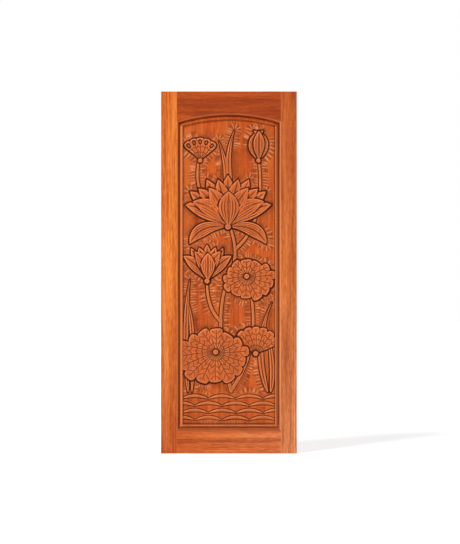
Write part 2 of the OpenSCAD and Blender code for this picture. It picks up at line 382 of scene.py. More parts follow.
@dataclass(frozen=True)
class Boss:
    """Low round button, or a seed where its second point differs; top is a share of the relief."""

    start: Point
    end: Point
    radius: float
    top: float
    rank: int = 0

    NICKS = 9
    DOTS = 7
    RAMP = 1.2
    EDGE = 0.8

    def reach(self, margin: float) -> tuple[Array, Array]:
        """Lowest and highest corner of the boss with a margin."""
        ends = np.array([self.start, self.end], float)
        return ends.min(0) - self.radius - margin, ends.max(0) + self.radius + margin

    def cut(self, x: Array, z: Array, relief: float) -> Cut:
        """The boss at each cell.

        A button is flat to 0.6 of its radius and falls to 0.85 of its top, with a ring of nicks at its
        edge and a ring of dots within. A seed is a half round along its line.

        Args:
            x: Places across.
            z: Places up.
            relief: Depth of the relief.

        Returns:
            Heights, distance outside the outline, edge height, stain and place along the outline.
        """
        a, b = np.asarray(self.start, float), np.asarray(self.end, float)
        way = b - a
        size = float(way @ way)
        along = (x - a[0]) * way[0] + (z - a[1]) * way[1]
        q = np.clip(along / size, 0.0, 1.0) if size else np.zeros_like(x)
        dx, dz = x - a[0] - q * way[0], z - a[1] - q * way[1]
        dist = np.hypot(dx, dz)
        v = dist / self.radius
        angle = np.arctan2(dz, dx)
        if size:
            height = self.top * relief - self.radius * (1.0 - np.sqrt(np.clip(1.0 - v * v, 0.0, 1.0)))
            stain = np.zeros_like(x)
        else:
            nick = stroke(angle * self.NICKS / TURN, 0.24) * smooth(0.62, 0.75, v)
            dot = bell(v - 0.36, 0.12) * stroke(angle * self.DOTS / TURN, 0.3)
            height = self.top * relief * (1.0 - 0.15 * smooth(0.6, 1.0, v)) - 0.5 * nick - 0.7 * dot
            stain = np.maximum(0.5 * nick, 0.75 * dot)
        rise = smooth(-self.RAMP, self.RAMP, self.radius - dist)
        edge = self.EDGE * self.top * relief
        return Cut(height * rise, dist - self.radius, edge, stain * rise, angle * self.radius)


@dataclass
class PondDrawing:
    """The carver's drawing: a lotus pond of blooms, round leaves, reeds and ripples.

    Places run from -1 to 1 across the field and from 0 to 1 up it, as in the part's source.
    """

    width: float = 2 * (SIZES.half_sight - SIZES.inset)
    height: float = SIZES.sight_top - SIZES.bottom_rail - 2 * SIZES.inset
    foot: float = SIZES.bottom_rail + SIZES.inset
    bloom_l: float = 290.0
    cup_l: float = 205.0
    bud_l: float = 170.0
    pod_l: float = 128.0
    low_leaf_r: float = 200.0
    high_leaf_r: float = 145.0
    side_leaf_r: float = 128.0
    leaf_squat: float = 0.76
    stem_r: float = 10.5
    reed_r: float = 16.0
    ripple_rows: int = 4
    ripple_pitch: float = 40.0
    layers: tuple[float, ...] = (0.34, 0.49, 0.63, 0.78)
    layer_shift: Point = (1.5, 0.5)
    crown: float = 0.15
    front_crown: float = 0.21
    bud_crown: float = 0.24
    vein: float = 0.11
    stem_edge: float = 0.06
    reed_edge: float = 0.08
    reed_crown: float = 0.22
    ripple_edge: float = 0.1
    ripple_crown: float = 0.24
    gore_edge: float = 0.38
    gore_fill: float = 0.93
    leaf_bow: float = 0.04
    leaf_crown: float = 0.17
    pod_bow: float = 0.03
    pod_crown: float = 0.2
    seed_span: Point = (0.78, 0.86)
    seed_r: float = 0.36 * SIZES.relief
    seed_top: float = 0.8
    rank: int = 0
    forms: list[Blade | Boss] = field(default_factory=list)

    def at(self, across: float, up: float) -> Array:
        """A place in the field."""
        return np.array([across * self.width / 2, self.foot + up * self.height])

    def blade(self, motif: Motif, points: list[Array], half: float, edge: float, crown: float,
              vein: float = 0.0) -> None:
        """Adds one blade to the drawing."""
        held = tuple(pair(p) for p in points)
        self.forms.append(Blade(motif, held, half, edge, crown, vein, self.rank))

    def button(self, place: Array, radius: float, top: float) -> None:
        """Adds the low button that petals or gores spring from."""
        self.forms.append(Boss(pair(place), pair(place), radius, top, self.rank))

    def petals(self, base: Array, length: float, half: float, leans: list[float], bow: float, layer: int,
               crown: float | None = None) -> None:
        """Adds one layer of petals that lean to both sides of upright.

        Args:
            base: Heart of the flower.
            length: Length of the petals.
            half: Half width as a share of the length.
            leans: Leans from upright in degrees; a lean of nought gives one petal.
            bow: Outward bow at a lean of 60 degrees, as a share of the length.
            layer: Which layer this is, from the back.
            crown: Crown over the edge, where it isn't the usual one.
        """
        foot = base + layer * np.array(self.layer_shift)
        for lean in leans:
            for sign in (-1, 1) if lean else (1,):
                a = math.radians(sign * lean)
                tip = length * np.array([math.sin(a), math.cos(a)])
                side = sign * bow * length * lean / 60 * np.array([math.cos(a), -math.sin(a)])
                points = [foot, foot + tip / 2 - side, foot + tip]
                self.blade(Motif.PETAL, points, half * length, self.layers[layer],
                           self.crown if crown is None else crown, self.vein)

    def bloom(self, base: Array, length: float) -> None:
        """Adds the open bloom: two falling petals and four layers.

        Args:
            base: Heart of the bloom.
            length: Length of its longest petals.
        """
        fall = 0.74 * length
        for s in (-1, 1):
            points = [base, base + [s * 0.75 * fall, 0.1 * fall], base + [s * fall, -0.45 * fall]]
            self.blade(Motif.PETAL, points, 0.17 * fall, self.layers[1], self.crown, self.vein)
        self.petals(base, length, 0.15, [0, 24, 47], 0.05, 0)
        self.petals(base, 0.93 * length, 0.165, [12, 38, 63], 0.16, 1)
        self.petals(base, 0.84 * length, 0.185, [27, 55], 0.26, 2)
        self.petals(base, 0.68 * length, 0.29, [0], 0.0, 3, self.front_crown)
        self.button(base, 1.6 * self.stem_r, 0.98)

    def cup(self, base: Array, length: float) -> None:
        """Adds the cupped bloom.

        Args:
            base: Heart of the bloom.
            length: Length of its longest petals.
        """
        self.petals(base, length, 0.15, [0, 26], 0.05, 0)
        self.petals(base, 0.95 * length, 0.17, [14, 44], 0.22, 1)
        self.petals(base, 0.88 * length, 0.19, [24], 0.55, 2)
        self.petals(base, 0.76 * length, 0.25, [0], 0.0, 3, self.front_crown)
        self.button(base, 1.4 * self.stem_r, 0.98)

    def bud(self, base: Array, length: float) -> None:
        """Adds the closed bud.

        Args:
            base: Foot of the bud.
            length: Length of its petals.
        """
        self.petals(base, length, 0.17, [9], 3.2, 0, self.bud_crown)
        self.petals(base, 0.97 * length, 0.19, [0], 0.0, 2, self.bud_crown)
        self.button(base, 1.2 * self.stem_r, 0.9)

    def seed_head(self, foot: Array, length: float, count: int = 5, spread: float = 38.0) -> None:
        """Adds a fan of gores with a seed near the end of each.

        Args:
            foot: Point that the fan spreads from.
            length: Length of the gores.
            count: Number of gores.
            spread: Angle from upright to the outermost gore, in degrees.
        """
        half = length * math.sin(math.radians(spread / (count - 1)))
        for i in range(count):
            a = math.radians(90 + spread * (2 * i / (count - 1) - 1))
            way = np.array([math.cos(a), math.sin(a)])
            side = self.pod_bow * length * np.array([way[1], -way[0]])
            points = [foot, foot + way * length / 2 + side, foot + way * length]
            self.blade(Motif.GORE, points, half, self.gore_edge, self.pod_crown)
            seed = [pair(foot + share * length * way) for share in self.seed_span]
            self.forms.append(Boss(*seed, self.seed_r, self.seed_top))
        self.button(foot, 1.2 * self.stem_r, 0.66)

    def leaf(self, centre: Array, size: Array, count: int, span: Point, navel: Point, wave: float,
             waves: int) -> None:
        """Adds a round leaf of gores that spread from a navel to a wavy edge.

        Args:
            centre: Middle of the leaf.
            size: Half width and half height.
            count: Number of gores.
            span: First and last angle in degrees.
            navel: Offset of the navel from the middle.
            wave: Depth of the waves of the edge as a share of its size.
            waves: Number of waves round the edge.
        """
        step = (span[1] - span[0]) / count
        start = centre + np.array(navel)

        def arm_at(angle: float) -> Array:
            """Arm from the navel to the edge of the leaf at an angle."""
            a = math.radians(angle)
            grow = 1 + wave * math.sin(waves * a)
            return centre + grow * size * np.array([math.cos(a), math.sin(a)]) - start

        for i in range(count):
            a = span[0] + (i + 0.5) * step
            arm, one, two = (arm_at(angle) for angle in (a, a - step / 2, a + step / 2))
            half = abs(one[0] * two[1] - one[1] * two[0]) / np.hypot(*arm) / 2
            mid = start + arm / 2 + self.leaf_bow * np.array([arm[1], -arm[0]])
            points = [start, mid, start + arm]
            self.blade(Motif.GORE, points, self.gore_fill * half, self.gore_edge, self.leaf_crown)
        self.button(start, 1.4 * self.stem_r, 0.68)

    def ripples(self, count: int = 4) -> None:
        """Adds rows of ripples, every other row shifted by half a ripple.

        Args:
            count: Number of ripples in a row.
        """
        span = self.width / (count - 0.6)
        rise = 0.85 * self.ripple_pitch
        for row in range(self.ripple_rows):
            up = self.foot + (0.6 + row) * self.ripple_pitch
            for i in range(count):
                x = (i - (count - 1) / 2 + (0.25 if row % 2 else -0.25)) * span
                points = [np.array(p) for p in ((x - span / 2, up), (x, up + rise), (x + span / 2, up))]
                self.blade(Motif.RIPPLE, points, rise / 4, self.ripple_edge, self.ripple_crown)

    def stems_and_reeds(self) -> None:
        """Adds the stems, each with its own height, and the reeds."""
        # Three places of the curve, share of the stem's radius, and top as a share of the relief
        stems = [
            ((0.05, 0.11), (-0.4, 0.36), (0.05, 0.5), 1.0, 0.33),
            ((0.05, 0.5), (0.25, 0.565), (-0.02, 0.665), 0.95, 0.31),
            ((0.06, 0.114), (0.75, 0.26), (0.42, 0.47), 0.95, 0.30),
            ((-0.17, 0.338), (-0.5, 0.38), (-0.47, 0.485), 0.9, 0.28),
            ((0.14, 0.575), (0.82, 0.66), (0.64, 0.875), 0.85, 0.27),
            ((-0.1, 0.68), (-0.86, 0.74), (-0.62, 0.885), 0.85, 0.29),
        ]
        # Three places of the curve, and share of the reed's half width
        reeds = [
            ((0.84, 0.105), (0.5, 0.26), (0.93, 0.4), 1.0),
            ((0.9, 0.105), (1.02, 0.2), (0.76, 0.34), 0.9),
            ((-0.88, 0.105), (-1.0, 0.34), (-0.84, 0.475), 1.0),
            ((-0.8, 0.105), (-0.72, 0.34), (-0.94, 0.42), 0.9),
            ((0.12, 0.71), (-0.14, 0.86), (0.12, 0.965), 1.1),
            ((-0.1, 0.71), (0.04, 0.83), (-0.22, 0.93), 1.0),
        ]
        for *places, share, top in stems:
            points = [self.at(*p) for p in places]
            self.blade(Motif.STEM, points, share * self.stem_r, self.stem_edge, top - self.stem_edge)
        for *places, share in reeds:
            points = [self.at(*p) for p in places]
            half = share * self.reed_r
            self.blade(Motif.REED, points, half, self.reed_edge, self.reed_crown, self.vein)

    def draw(self) -> list[Blade | Boss]:
        """Draws the whole pond from the back to the front.

        Returns:
            The forms, in the order they are carved.
        """
        self.ripples()
        self.stems_and_reeds()
        low, high, side = self.low_leaf_r, self.high_leaf_r, self.side_leaf_r
        self.rank = 1
        self.leaf(self.at(0.58, 0.25), np.array([side, 0.97 * side]), 7, (12, 168), (0, -30), 0.03, 3)
        self.rank = 2
        size = np.array([low, self.leaf_squat * low])
        self.leaf(self.at(-0.36, 0.222), size, 15, (0, 360), (20, 26), 0.06, 5)
        self.rank = 3
        size = np.array([high, self.leaf_squat * high])
        self.leaf(self.at(0.44, 0.475), size, 13, (0, 360), (-14, 18), 0.06, 4)
        self.rank = 0
        self.seed_head(self.at(-0.62, 0.865), self.pod_l)
        self.cup(self.at(-0.47, 0.47), self.cup_l)
        self.bud(self.at(0.64, 0.865), self.bud_l)
        self.bloom(self.at(-0.02, 0.648), self.bloom_l)
        return self.forms


@dataclass
class Relief:
    """Height field of the carving over its ground, in mm, with its staining and painted shade, and its
    wearing and painted light.
    """

    x: Array
    z: Array
    cell: float
    bare_h: float = 0.3
    margin: float = 9.0
    line_w: float = 11.5
    line_d: float = 1.6
    foot_drop: float = 0.35
    foot_reach: float = 1.6
    leaf_edge: float = 3.0
    ray_pitch: float = 15.5
    ray_l: float = 45.0
    ray_w: float = 0.34
    ray_d: float = 1.8
    ray_room: Point = (7.0, 13.0)
    fan: int = 9
    halo_l: float = 23.0
    halo_cut: float = 9.0
    tool_pitch: float = 10.0
    tool_d: float = 0.6
    tool_l: float = 85.0
    tool_fade: Point = (450.0, 900.0)
    wall_w: float = 4.2
    wall_d: float = 0.5
    wall_low: float = 6.0
    handled: float = 0.25
    crest_h: float = 1.1
    tuck_reach: int = 8
    tuck_d: float = 0.9
    tuck_ink: float = 0.62

    FLOOD = (16, 8, 4, 2, 1)
    NOWHERE = -9999
    FARTHEST = 1e3

    def __post_init__(self) -> None:
        """Starts with a bare ground: no height, no staining or painted shade, no run along an outline, no
        edge, no wearing or painted light, and no pale ray cuts.
        """
        bare = np.zeros((6, *self.x.shape))
        self.height, self.stain, self.run, self.edge, self.wear, self.pale = bare
        self.ink: Array = np.ones_like(self.x)

    def window(self, low: Array, high: Array) -> Window:
        """Rows and columns of the grid that may lie between two corners.

        Args:
            low: Lower left corner.
            high: Upper right corner.

        Returns:
            The rows and the columns, empty where the corners lie outside the grid.
        """
        cols = np.nonzero((self.x[0] >= low[0]) & (self.x[0] <= high[0]))[0]
        rows = np.nonzero((self.z.max(1) >= low[1]) & (self.z.min(1) <= high[1]))[0]
        if not len(cols) or not len(rows):
            return slice(0, 0), slice(0, 0)
        return slice(rows[0], rows[-1] + 1), slice(cols[0], cols[-1] + 1)

    def carve(self, forms: list[Blade | Boss]) -> None:
        """Sets the forms in: the higher one shows at each cell, and its foot is undercut by a dark line,
        antique staining with painted shade in the undercut.

        A form with a rank lies in front of those of a lower rank, whatever their heights.

        Args:
            forms: Blades and bosses of the drawing.
        """
        kept: list[tuple[Window, Cut]] = []
        owner = np.zeros(self.x.shape, int)
        for form in forms:
            win = self.window(*form.reach(self.margin))
            if self.x[win].size == 0:
                continue
            cut = form.cut(self.x[win], self.z[win], SIZES.relief)
            behind = (owner[win] > 0) & (owner[win] < form.rank)
            over = (cut.height > self.height[win]) | (behind & (cut.outside < 0.0))
            np.copyto(owner[win], form.rank, where=over)
            for key in ("height", "stain", "run", "edge", "ink"):
                np.copyto(getattr(self, key)[win], getattr(cut, key), where=over)
            kept.append((win, cut))
        lines = np.zeros_like(self.height)
        for win, cut in kept:
            foot = (self.height[win] < cut.edge - self.foot_drop) & (cut.outside > -self.foot_reach)
            line = cut.ink * np.where(foot, self.dark_line(cut.outside, self.broad(cut.edge)[win]), 0.0)
            lines[win] = np.maximum(lines[win], line)
        for rank in range(1, owner.max() + 1):
            away, _, _ = self.nearest_form(owner == rank)
            lower = (self.height < self.leaf_edge) | ((owner > 0) & (owner < rank))
            line = self.dark_line(away, self.broad(self.leaf_edge))
            lines = np.maximum(lines, np.where(lower & (owner != rank), line, 0.0))
        lines = box_blur(lines, 1)
        self.height -= self.line_d * lines
        self.stain = np.maximum(self.stain, lines)

    @staticmethod
    def dark_line(away: Array, width: Array) -> Array:
        """Share of the dark line at a distance: full to half its width, and none past it."""
        return 1.0 - smooth(0.5, 1.0, away / width)

    def broad(self, edge: float | Array) -> Array:
        """Width of the dark line at each cell: it swells along its way, and is finer under a low edge."""
        swell = 1.0 + 0.3 * np.sin(self.x / 61.0 + 0.7) * np.sin(self.z / 83.0)
        return self.line_w * swell * (0.5 + 0.5 * np.minimum(1.0, edge / self.leaf_edge))

    def nearest_form(self, solid: Array) -> tuple[Array, Array, Array]:
        """Finds the nearest carved cell of each ground cell by jump flooding.

        Every cell takes over the nearest cell that its neighbours know of, at steps that halve.

        Args:
            solid: Cells that belong to a carved form.

        Returns:
            Distance in mm, and the row and column of the nearest carved cell.
        """
        rows, cols = np.indices(solid.shape)
        deep, wide = solid.shape
        best = np.where(solid, 0.0, 1e9)
        row, col = np.where(solid, rows, self.NOWHERE), np.where(solid, cols, self.NOWHERE)
        for step in self.FLOOD:
            for dr in (-step, 0, step):
                for dc in (-step, 0, step):
                    there = np.clip(rows + dr, 0, deep - 1), np.clip(cols + dc, 0, wide - 1)
                    r, c = row[there], col[there]
                    far = (rows - r) ** 2.0 + (cols - c) ** 2.0
                    better = far < best
                    best = np.where(better, far, best)
                    row, col = np.where(better, r, row), np.where(better, c, col)
        away = np.minimum(np.sqrt(best) * self.cell, self.FARTHEST)
        return away, np.clip(row, 0, deep - 1), np.clip(col, 0, wide - 1)

    def tool_ground(self) -> None:
        """Works the ground: a dark line and rays along the outlines, painted shade round the forms, and
        level strokes beyond them.

        A ray is a V cut at an even pitch along the outline, which narrows and runs out with distance.
        The rays come and go with a slow drift, and stop where the forms leave them no room.
        """
        bare = self.height < self.bare_h
        away, row, col = self.nearest_form(~bare)
        ink = self.ink[row, col]
        line = np.where(bare, self.dark_line(away, self.broad(self.edge[row, col])), 0.0) * ink
        self.height -= self.line_d * np.clip(line - self.stain, 0.0, 1.0)
        self.stain = np.maximum(self.stain, line)
        rise, slide = np.gradient(box_blur(away, 2))
        phase = self.run[row, col] / self.ray_pitch + self.fan * (np.arctan2(rise, slide) / TURN)
        out = np.clip(away / (self.ray_l * (0.85 + 0.3 * scatter(np.floor(phase), 1.0))), 0.0, 1.0)
        drift = np.sin(self.x / 71.0 + 1.3) * np.sin(self.z / 97.0 + 0.4)
        drift = drift + 0.5 * np.sin((self.x - self.z) / 58.0)
        room = smooth(*self.ray_room, box_blur(away, 9) * ink)
        worked = (0.15 + 0.85 * smooth(-0.6, -0.1, drift)) * room
        comb = between(out, 0.08, 0.16, 0.75, 1.0) * worked
        ray = box_blur(gouge(phase, self.ray_w * (1.0 - 0.45 * out) + 1e-3) * comb, 1) * bare
        flute = self.level_strokes() * smooth(0.45, 0.95, out) * bare
        self.height -= self.ray_d * ray + self.tool_d * flute
        # Painted shade on the ground round the forms, and also dark between the rays and in the level
        # strokes
        shade_halo = np.where(bare, np.exp(-away / (self.halo_l - self.halo_cut * worked)), 0.0)
        shade_halo = np.minimum(1.05 * shade_halo, 0.9) * (0.35 + 0.65 * room) * ink**2
        deep = np.maximum(shade_halo, 0.5 * comb * bare) * (1.0 - ray) + 0.12 * flute
        self.stain = np.maximum(self.stain, deep)
        # The ray cuts are painted pale: partly newly cut wood, partly painted highlight
        self.pale = ray

    def level_strokes(self) -> Array:
        """Shallow flutes one above the other, broken into lengths of uneven force, and fainter high up.

        Each course is a parabola across the pitch. It sways, and its lengths end in short ramps.

        Returns:
            Share of the depth at each cell.
        """
        sway = 2.6 * np.sin(self.x / 41.0 + self.z / 63.0) + 1.6 * np.sin(self.x / 17.0 - self.z / 29.0)
        level = (self.z + sway) / self.tool_pitch
        course = np.floor(level)
        part = self.x / self.tool_l + scatter(course, 3.0)
        chip = np.floor(part)
        ends = between(part - chip, 0.0, 0.16, 0.84, 1.0)
        force = 0.55 + 0.45 * scatter(course * 7.0 + chip, 5.0)
        flute = np.clip(1.0 - (2.0 * (level - course) - 1.0) ** 2, 0.0, 1.0) * ends * force
        return flute * (1.0 - 0.6 * smooth(*self.tool_fade, self.z))

    def darken_edge(self, to_wall: Array) -> None:
        """Paints shade at the foot of the wall round the field, and sinks it a little.

        Args:
            to_wall: Distance of each cell from the wall.
        """
        foot = bell(to_wall, self.wall_w)
        self.height -= self.wall_d * foot * (self.height < self.wall_low)
        self.stain = np.maximum(self.stain, np.maximum(0.92 * foot, 0.3 * np.exp(-to_wall / 12.0)))

    def shade_tucks(self) -> None:
        """Paints shade on the forms where they tuck under a higher one: the mean height round less their
        own.
        """
        tuck = np.clip((box_blur(self.height, self.tuck_reach) - self.height) / self.tuck_d, 0.0, 1.0)
        soft = box_blur(self.tuck_ink * tuck * (self.height > self.bare_h), 2)
        self.stain = np.maximum(self.stain, soft)

    def find_wear(self) -> None:
        """Wearing and painted light is the height over its own surroundings: crests, lighter as abraded
        wood and as painted highlight, are above 0, and hollows, darker as painted shade, below.

        The forms are handled more than the ground, and the ray cuts are painted pale, partly as newly cut
        wood and partly as painted highlight, so they count as crests.
        """
        crest = (self.height - box_blur(self.height, 3)) / self.crest_h
        crest = crest + self.handled * (self.height > self.bare_h)
        self.wear = np.clip(np.where(self.pale > 0.05, self.pale, crest), -1.0, 1.0)


class Grain(Enum):
    """Which way the grain of a piece runs: the turn that lays it along the pattern's own Z."""

    UP = (0.0, 0.0, 0.0)
    ACROSS = (0.0, math.pi / 2, 0.0)


class Nodes:
    """Short hand for the node tree of a material or a world."""

    def __init__(self, owner: bpy.types.Material | bpy.types.World, end: str = "Principled BSDF") -> None:
        """Takes over a node tree.

        Args:
            owner: Material or world that the tree belongs to.
            end: Name of the shader that it ends in.
        """
        owner.use_nodes = True
        self.tree = owner.node_tree
        self.shader = self.tree.nodes[end]

    def add(self, kind: str, inputs: dict | None = None, **settings: object) -> bpy.types.Node:
        """Adds a node.

        Args:
            kind: Node type.
            inputs: Sockets by name or index, each a value or the socket to link.
            settings: Properties of the node.

        Returns:
            The new node.
        """
        node = self.tree.nodes.new(kind)
        for key, value in settings.items():
            setattr(node, key, value)
        self.fill(node, inputs or {})
        return node

    def fill(self, node: bpy.types.Node, inputs: dict) -> None:
        """Links a node's sockets, or sets their values.

        Args:
            node: The node.
            inputs: Sockets by name or index, each a value or the socket to link.
        """
        for key, value in inputs.items():
            if isinstance(value, bpy.types.NodeSocket):
                self.tree.links.new(value, node.inputs[key])
            else:
                node.inputs[key].default_value = value

    def math(self, operation: str, *values: object, clamp: bool = False) -> Socket:
        """Output of a math node."""
        inputs = dict(enumerate(values))
        return self.add("ShaderNodeMath", inputs, operation=operation, use_clamp=clamp).outputs[0]

    def ramp(self, fac: Socket, stops: list[tuple[float, tuple]]) -> Socket:
        """Colour ramp.

        Args:
            fac: Share that runs through the ramp.
            stops: Places on the ramp with their colours.

        Returns:
            The colour.
        """
        node = self.add("ShaderNodeValToRGB", {"Fac": fac})
        elements = node.color_ramp.elements
        while len(elements) < len(stops):
            elements.new(0.5)
        for element, (place, colour) in zip(elements, stops):
            element.position = place
            element.color = colour
        return node.outputs["Color"]

    def levels(self, fac: Socket, stops: Stops) -> Socket:
        """Grey ramp, as a number."""
        return self.ramp(fac, [(place, (v, v, v, 1.0)) for place, v in stops])

    def mix(self, fac: object, one: object, two: object, blend: str = "MIX") -> Socket:
        """Colour output of a mix."""
        inputs = {"Factor": fac, "A": one, "B": two}
        return self.add("ShaderNodeMix", inputs, data_type="RGBA", blend_type=blend).outputs["Result"]

    def noise(self, vector: Socket, scale: Place, detail: float, warp: float = 0.0) -> Socket:
        """Grey noise stretched by a scale for each axis.

        Args:
            vector: Place in metres.
            scale: Cycles a metre along each axis.
            detail: Octaves of finer noise.
            warp: Distortion.

        Returns:
            The noise as a number.
        """
        spread = self.add("ShaderNodeVectorMath", {0: vector, 1: scale}, operation="MULTIPLY")
        inputs = {"Vector": spread.outputs[0], "Scale": 1.0, "Detail": detail, "Distortion": warp}
        return self.add("ShaderNodeTexNoise", inputs).outputs["Fac"]


@dataclass(frozen=True)
class Timber:
    """Varnished timber: three tones, the way of its grain and the place in the log it was cut from."""

    name: str
    light: Colour
    mid: Colour
    dark: Colour
    grain: Grain = Grain.UP
    shift: Place = (0.0, 0.0, 0.0)
    low_end: Colour | None = None
    high_end: Colour | None = None
    drift: float = 0.9
    pore: Colour = (92, 38, 14)
    pore_share: float = 0.42
    end_share: float = 0.7
    # Dark colour of the antique staining and of the painted shade
    stain: Colour = (70, 18, 0)
    rough: Point = (0.36, 0.52)
    gloss: float = 0.14
    coat: float = 0.05
    coat_rough: float = 0.28
    fibre_bump: float = 0.22
    bump_height: float = 0.0005

    def shadow(self, nodes: Nodes) -> Socket | None:
        """Where staining and painted shade darken the colour, from 0 to 1; plain timber has no such place.
        """
        return None

    def worn(self, nodes: Nodes, colour: Socket) -> Socket:
        """Colour with its wearing and painted light; plain timber has none."""
        return colour

    def drifted(self, nodes: Nodes, place: Socket, colour: Socket) -> Socket:
        """Colour that drifts to another tone towards each end of the board, multiplied by end / mid.

        Args:
            nodes: Node tree of the finish.
            place: Object coordinates.
            colour: Colour of the plain timber.

        Returns:
            The colour with its drift.
        """
        axes = nodes.add("ShaderNodeSeparateXYZ", {0: place}).outputs
        if self.grain is Grain.UP:
            along = nodes.math("DIVIDE", axes["Z"], SIZES.height * MM)
        else:
            along = nodes.math("MULTIPLY_ADD", axes["X"], 1.0 / (SIZES.width * MM), 0.5)
        low, high = ((0.0, self.drift), (0.5, 0.0)), ((0.5, 0.0), (1.0, self.drift))
        for end, stops in ((self.low_end, low), (self.high_end, high)):
            if end is not None:
                tint = tuple(a / b for a, b in zip(linear(end), linear(self.mid)))
                colour = nodes.mix(nodes.levels(along, stops), colour, tint, "MULTIPLY")
        return colour

    def material(self) -> bpy.types.Material:
        """Builds the finish.

        Broad ribbon bands, warped growth lines and fine fibres, each a noise stretched along the grain,
        add up to a share that runs through the three tones. Short pores darken it, end grain is darker
        and closer, and the same fibres give roughness and bump.

        Returns:
            The material.
        """
        material = bpy.data.materials.new(self.name)
        nodes = Nodes(material)
        place = nodes.add("ShaderNodeTexCoord").outputs
        turn = {"Vector": place["Object"], "Location": self.shift, "Rotation": self.grain.value}
        vector = nodes.add("ShaderNodeMapping", turn).outputs["Vector"]
        ribbon = nodes.noise(vector, (24.0, 24.0, 0.9), 3.0, 0.5)
        growth = nodes.noise(vector, (95.0, 60.0, 2.2), 3.0, 1.4)
        fibre = nodes.noise(vector, (620.0, 620.0, 14.0), 4.0)
        fleck = nodes.noise(vector, (190.0, 190.0, 26.0), 2.0)
        pore = nodes.levels(nodes.noise(vector, (1100.0, 1100.0, 55.0), 2.0), ((0.58, 0.0), (0.7, 1.0)))
        dots = nodes.noise(vector, (420.0, 420.0, 30.0), 3.0)
        share: object = 0.0
        for layer, weight in ((ribbon, 0.36), (growth, 0.26), (fleck, 0.2), (fibre, 0.18)):
            share = nodes.math("MULTIPLY_ADD", layer, weight, share)
        tones = [(0.42, linear(self.dark)), (0.5, linear(self.mid)), (0.58, linear(self.light))]
        colour = self.drifted(nodes, place["Object"], nodes.ramp(share, tones))
        colour = nodes.mix(nodes.math("MULTIPLY", pore, self.pore_share), colour, linear(self.pore))
        facing = nodes.add("ShaderNodeVectorMath", {0: place["Normal"]}, operation="ABSOLUTE")
        axes = nodes.add("ShaderNodeSeparateXYZ", {0: facing.outputs[0]}).outputs
        end = nodes.math("GREATER_THAN", axes["Z" if self.grain is Grain.UP else "X"], 0.9)
        end_tone = nodes.ramp(dots, [(0.4, linear(self.pore)), (0.62, linear(self.dark))])
        colour = nodes.mix(nodes.math("MULTIPLY", end, self.end_share), colour, end_tone)
        colour = self.worn(nodes, colour)
        # Painted shade and staining: the dark colour goes in where the shadow share says
        shadow = self.shadow(nodes)
        if shadow is not None:
            colour = nodes.mix(shadow, colour, linear(self.stain))
        span = {"Value": fibre, "To Min": self.rough[0], "To Max": self.rough[1]}
        grooves = nodes.math("MULTIPLY_ADD", pore, -0.8, fibre)
        relief = {"Strength": self.fibre_bump, "Distance": self.bump_height, "Height": grooves}
        nodes.fill(nodes.shader, {
            "Base Color": colour,
            "Roughness": nodes.add("ShaderNodeMapRange", span).outputs["Result"],
            "Specular IOR Level": self.gloss,
            "Coat Weight": self.coat,
            "Coat Roughness": self.coat_rough,
            "Normal": nodes.add("ShaderNodeBump", relief).outputs["Normal"],
        })
        return material


class SightLine(Enum):
    """Which sight line a moulded edge follows, with the painted shade on it by share of its depth."""

    # The left edge, turned from the lamps, is painted darker over a wider band than the right
    LEFT = ((0.0, 0.68), (0.28, 0.6), (0.4, 0.34), (0.52, 0.12), (0.7, 0.0))
    RIGHT = ((0.0, 0.72), (0.2, 0.6), (0.32, 0.3), (0.4, 0.0),
             (0.52, 0.0), (0.57, 0.25), (0.63, 0.2), (0.68, 0.0))
    FOOT = ((0.0, 0.46), (0.2, 0.55), (0.4, 0.45), (0.6, 0.26), (0.8, 0.1), (1.0, 0.0))
    HEAD = ((0.0, 0.24), (0.2, 0.22), (0.36, 0.12), (0.46, 0.0))


@dataclass(frozen=True)
class MouldedTimber(Timber):
    """Timber of a stile or rail, whose moulded edge has painted shade in its quirk and at its foot, and a
    painted highlight on its ovolo.
    """

    edge: SightLine = SightLine.RIGHT
    depth: float = 20.0
    rubbed: Colour = (244, 162, 108)
    rub: Stops = ((0.34, 0.0), (0.46, 0.62), (0.64, 0.5), (0.8, 0.0))

    def inward(self, nodes: Nodes) -> Socket:
        """Distance into the wood from the sight line.

        Args:
            nodes: Node tree of the finish.

        Returns:
            The distance as a share of the depth.
        """
        place = nodes.add("ShaderNodeTexCoord").outputs["Object"]
        axes = nodes.add("ShaderNodeSeparateXYZ", {0: place}).outputs
        if self.edge in (SightLine.LEFT, SightLine.RIGHT):
            inward = nodes.math("SUBTRACT", nodes.math("ABSOLUTE", axes["X"]), SIZES.half_sight * MM)
        elif self.edge is SightLine.FOOT:
            inward = nodes.math("SUBTRACT", SIZES.bottom_rail * MM, axes["Z"])
        else:
            up = nodes.math("SUBTRACT", axes["Z"], SIZES.arch_z * MM)
            square = nodes.math("MULTIPLY_ADD", axes["X"], axes["X"], nodes.math("MULTIPLY", up, up))
            inward = nodes.math("SUBTRACT", nodes.math("SQRT", square), SIZES.arch_r * MM)
        return nodes.math("DIVIDE", inward, self.depth * MM)

    def shadow(self, nodes: Nodes) -> Socket:
        """Painted shade, most at the foot of the ovolo beside the panel."""
        return nodes.levels(self.inward(nodes), self.edge.value)

    def worn(self, nodes: Nodes, colour: Socket) -> Socket:
        """Painted highlight: the top of the ovolo and its fillet take a light tone."""
        return nodes.mix(nodes.levels(self.inward(nodes), self.rub), colour, linear(self.rubbed))


